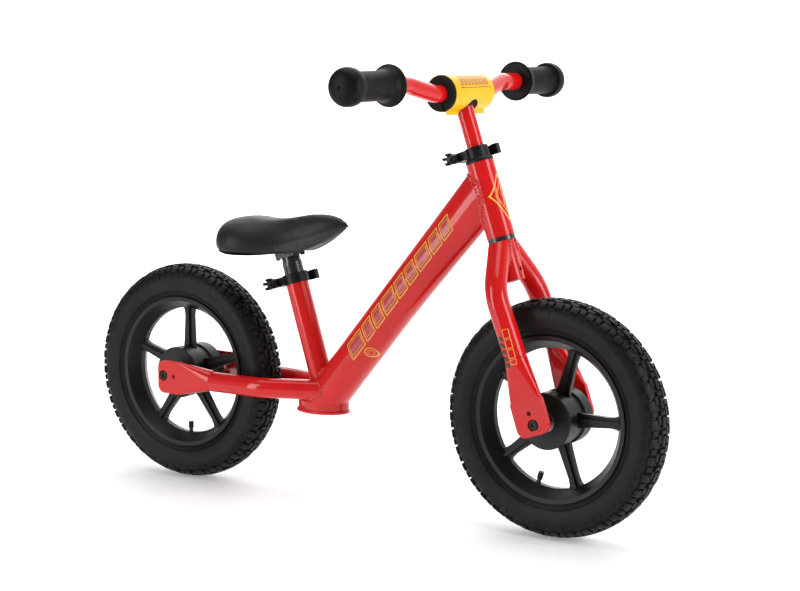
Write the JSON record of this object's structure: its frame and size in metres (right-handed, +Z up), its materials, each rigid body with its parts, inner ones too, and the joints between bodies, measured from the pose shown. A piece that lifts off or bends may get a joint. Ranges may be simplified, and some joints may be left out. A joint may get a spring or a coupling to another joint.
{
  "type": "balance bike",
  "caption": "Child's balance bike: welded tube frame, steered fork, moulded wheels with treaded tyres, padded handlebar and a height-adjustable saddle.",
  "frame": {"origin": "on the ground, midway between the two axles, in the middle plane", "axes": "+X forward, +Y to the rider's left, +Z up"},
  "size_m": [0.886, 0.5, 0.5838],
  "materials": {
    "frame_paint": "gloss red enamel",
    "black_alloy": "black anodised alloy, satin",
    "plated_steel": "bright zinc plating",
    "bearing_steel": "ground bearing steel",
    "wheel_plastic": "moulded black nylon, satin",
    "black_plastic": "moulded black plastic",
    "tyre_rubber": "black tyre rubber",
    "tube_rubber": "butyl rubber",
    "grip_rubber": "soft black rubber",
    "foam": "black closed-cell foam",
    "pad_vinyl": "yellow printed vinyl sleeve",
    "saddle_cover": "black synthetic leather over foam",
    "bar_metal": "satin black steel"
  },
  "bodies": {
    "frame": {"head_tube": "frame_paint", "down_tube": "frame_paint", "bottom_plate": "black_plastic", "seat_tube": "frame_paint", "chainstay_left": "frame_paint", "chainstay_right": "frame_paint", "headset_lower_bearing": "bearing_steel", "headset_upper_bearing": "bearing_steel", "rear_axle": "plated_steel", "rear_axle_spacers": "plated_steel", "rear_axle_bolts": "plated_steel", "seat_clamp_collar": "black_alloy", "seat_clamp_skewer": "plated_steel", "seat_clamp_washers": "plated_steel", "seat_clamp_pin": "plated_steel"},
    "rear_wheel": {"rear_rim": "wheel_plastic", "rear_spokes": "wheel_plastic", "rear_hub": "wheel_plastic", "rear_tyre": "tyre_rubber", "rear_inner_tube": "tube_rubber", "rear_valve_stem": "tube_rubber", "rear_valve_cap": "black_plastic", "rear_hub_bearings": "bearing_steel", "rear_bearing_spacer": "plated_steel"},
    "seat": {"seat_post": "bar_metal", "saddle_bracket": "bar_metal", "saddle_screws": "plated_steel", "saddle_shell": "black_plastic", "saddle_cushion": "saddle_cover"},
    "seat_lever": {"seat_clamp_lever": "black_alloy"},
    "seat_nut": {"seat_clamp_nut": "black_alloy"},
    "fork": {"fork_steerer": "frame_paint", "fork_leg_left": "frame_paint", "fork_leg_right": "frame_paint", "crown_race": "bearing_steel", "dust_cap": "black_plastic", "front_axle": "plated_steel", "front_axle_spacers": "plated_steel", "front_axle_bolts": "plated_steel", "head_clamp_collar": "black_alloy", "head_clamp_skewer": "plated_steel", "head_clamp_washers": "plated_steel", "head_clamp_pin": "plated_steel"},
    "front_wheel": {"front_rim": "wheel_plastic", "front_spokes": "wheel_plastic", "front_hub": "wheel_plastic", "front_tyre": "tyre_rubber", "front_inner_tube": "tube_rubber", "front_valve_stem": "tube_rubber", "front_valve_cap": "black_plastic", "front_hub_bearings": "bearing_steel", "front_bearing_spacer": "plated_steel"},
    "handlebar": {"handlebar": "frame_paint", "handlebar_post": "frame_paint", "grip_left": "grip_rubber", "grip_right": "grip_rubber", "bar_pad_foam": "foam", "bar_pad_cover": "pad_vinyl"},
    "head_lever": {"head_clamp_lever": "black_alloy"},
    "head_nut": {"head_clamp_nut": "black_alloy"}
  },
  "joints": [
    {"name": "steering", "type": "hinge", "parent": "frame", "child": "fork", "pos_m": [0.28734, 0, 0.14801], "axis": [-0.3322, 0, 0.9432], "continuous": true},
    {"name": "rear_wheel_spin", "type": "hinge", "parent": "frame", "child": "rear_wheel", "pos_m": [-0.293, 0, 0.15], "axis": [0, 1, 0], "continuous": true},
    {"name": "front_wheel_spin", "type": "hinge", "parent": "fork", "child": "front_wheel", "pos_m": [0.293, 0, 0.15], "axis": [0, 1, 0], "continuous": true},
    {"name": "handlebar_height", "type": "slide", "parent": "fork", "child": "handlebar", "axis": [-0.3322, 0, 0.9432], "range_m": [-0.035, 0.04]},
    {"name": "saddle_height", "type": "slide", "parent": "frame", "child": "seat", "axis": [-0.309, 0, 0.9511], "range_m": [-0.014, 0.07]},
    {"name": "head_lever_release", "type": "hinge", "parent": "fork", "child": "head_lever", "pos_m": [0.14948, 0.0205, 0.46423], "axis": [-0.3322, 0, 0.9432], "range_deg": [0, 150]},
    {"name": "seat_lever_release", "type": "hinge", "parent": "frame", "child": "seat_lever", "pos_m": [-0.13263, 0.0205, 0.28542], "axis": [-0.309, 0, 0.9511], "range_deg": [0, 150]},
    {"name": "head_nut_turn", "type": "hinge", "parent": "fork", "child": "head_nut", "pos_m": [0.14948, -0.02, 0.46423], "axis": [0, 1, 0], "continuous": true},
    {"name": "seat_nut_turn", "type": "hinge", "parent": "frame", "child": "seat_nut", "pos_m": [-0.13263, -0.02, 0.28542], "axis": [0, 1, 0], "continuous": true}
  ]
}
